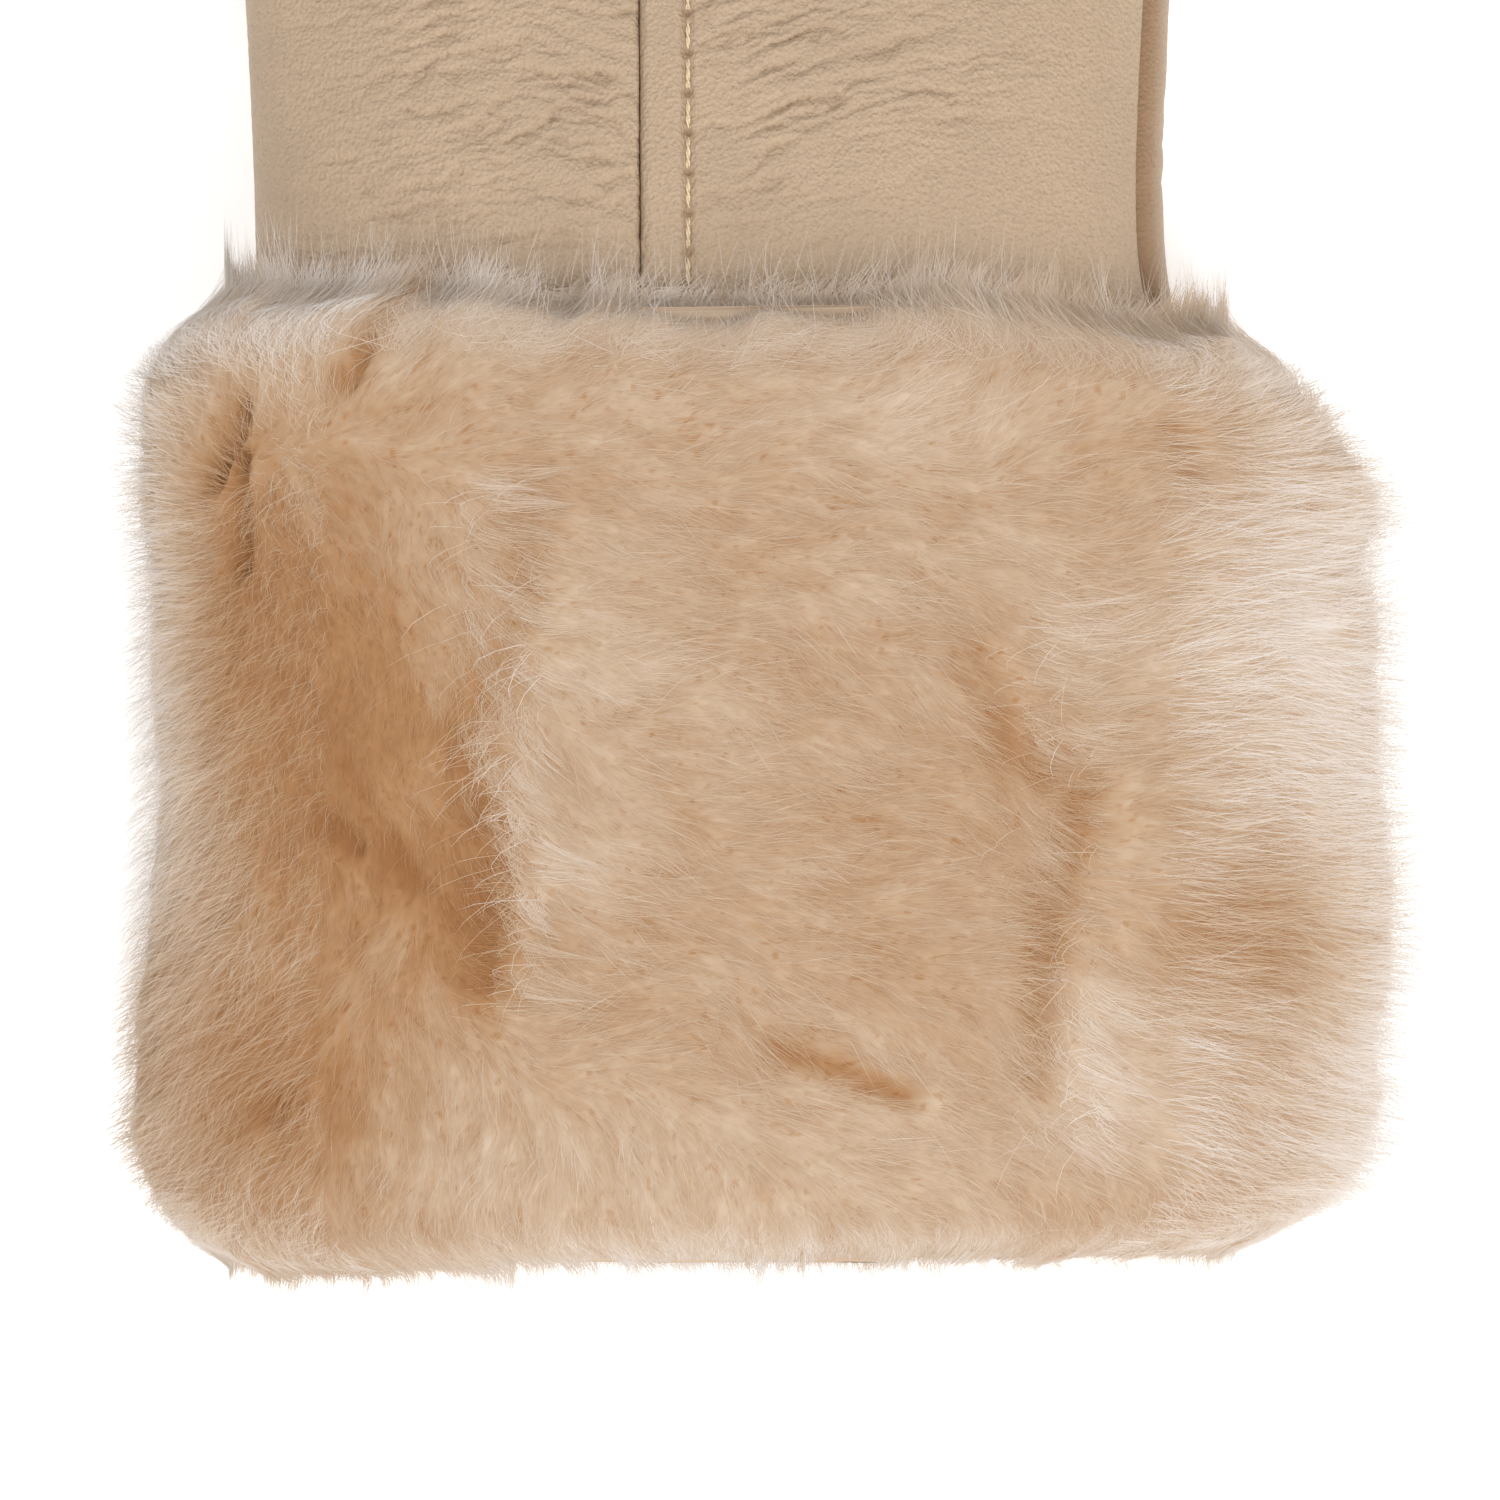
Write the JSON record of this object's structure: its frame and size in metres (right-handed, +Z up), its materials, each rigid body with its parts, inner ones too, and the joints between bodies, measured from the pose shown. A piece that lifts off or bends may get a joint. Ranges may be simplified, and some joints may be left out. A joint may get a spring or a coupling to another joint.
{
  "type": "wash mitt",
  "caption": "Right-hand mitt in smooth tan leather with a lapped, topstitched back seam, wool lining and a deep pieced sheepskin cuff, lying on its palm.",
  "frame": {"origin": "on the table under the middle of the mitt's box", "axes": "+Z up from the palm to the back of the hand, +Y from the cuff's mouth to the fingertips, +X away from the thumb"},
  "size_m": [0.1484, 0.2596, 0.052],
  "materials": {
    "leather": "satin",
    "sheepskin_fur": "matte",
    "wool_lining": "matte",
    "cotton_thread": "matte",
    "felt_interlining": "matte"
  },
  "bodies": {
    "root": {"back_lining": "wool_lining", "palm_lining": "wool_lining", "thumb_back_lining": "wool_lining", "thumb_palm_lining": "wool_lining", "cuff_lining_back": "wool_lining", "cuff_lining_palm": "wool_lining", "back_left_panel": "leather", "back_right_panel": "leather", "palm_panel": "leather", "thumb_back_panel": "leather", "thumb_palm_panel": "leather", "cuff_left_fur": "sheepskin_fur", "cuff_middle_fur": "sheepskin_fur", "cuff_right_fur": "sheepskin_fur", "cuff_hem_fur": "sheepskin_fur", "cuff_under_left_fur": "sheepskin_fur", "cuff_under_right_fur": "sheepskin_fur", "topstitch_thread": "cotton_thread", "side_seam_thread": "cotton_thread", "side_seam_thread_below_thumb": "cotton_thread", "thumb_seam_thread": "cotton_thread", "cuff_seam_thread": "cotton_thread", "hem_thread": "cotton_thread", "cuff_interlining_back": "felt_interlining", "cuff_interlining_palm": "felt_interlining"}
  },
  "joints": []
}
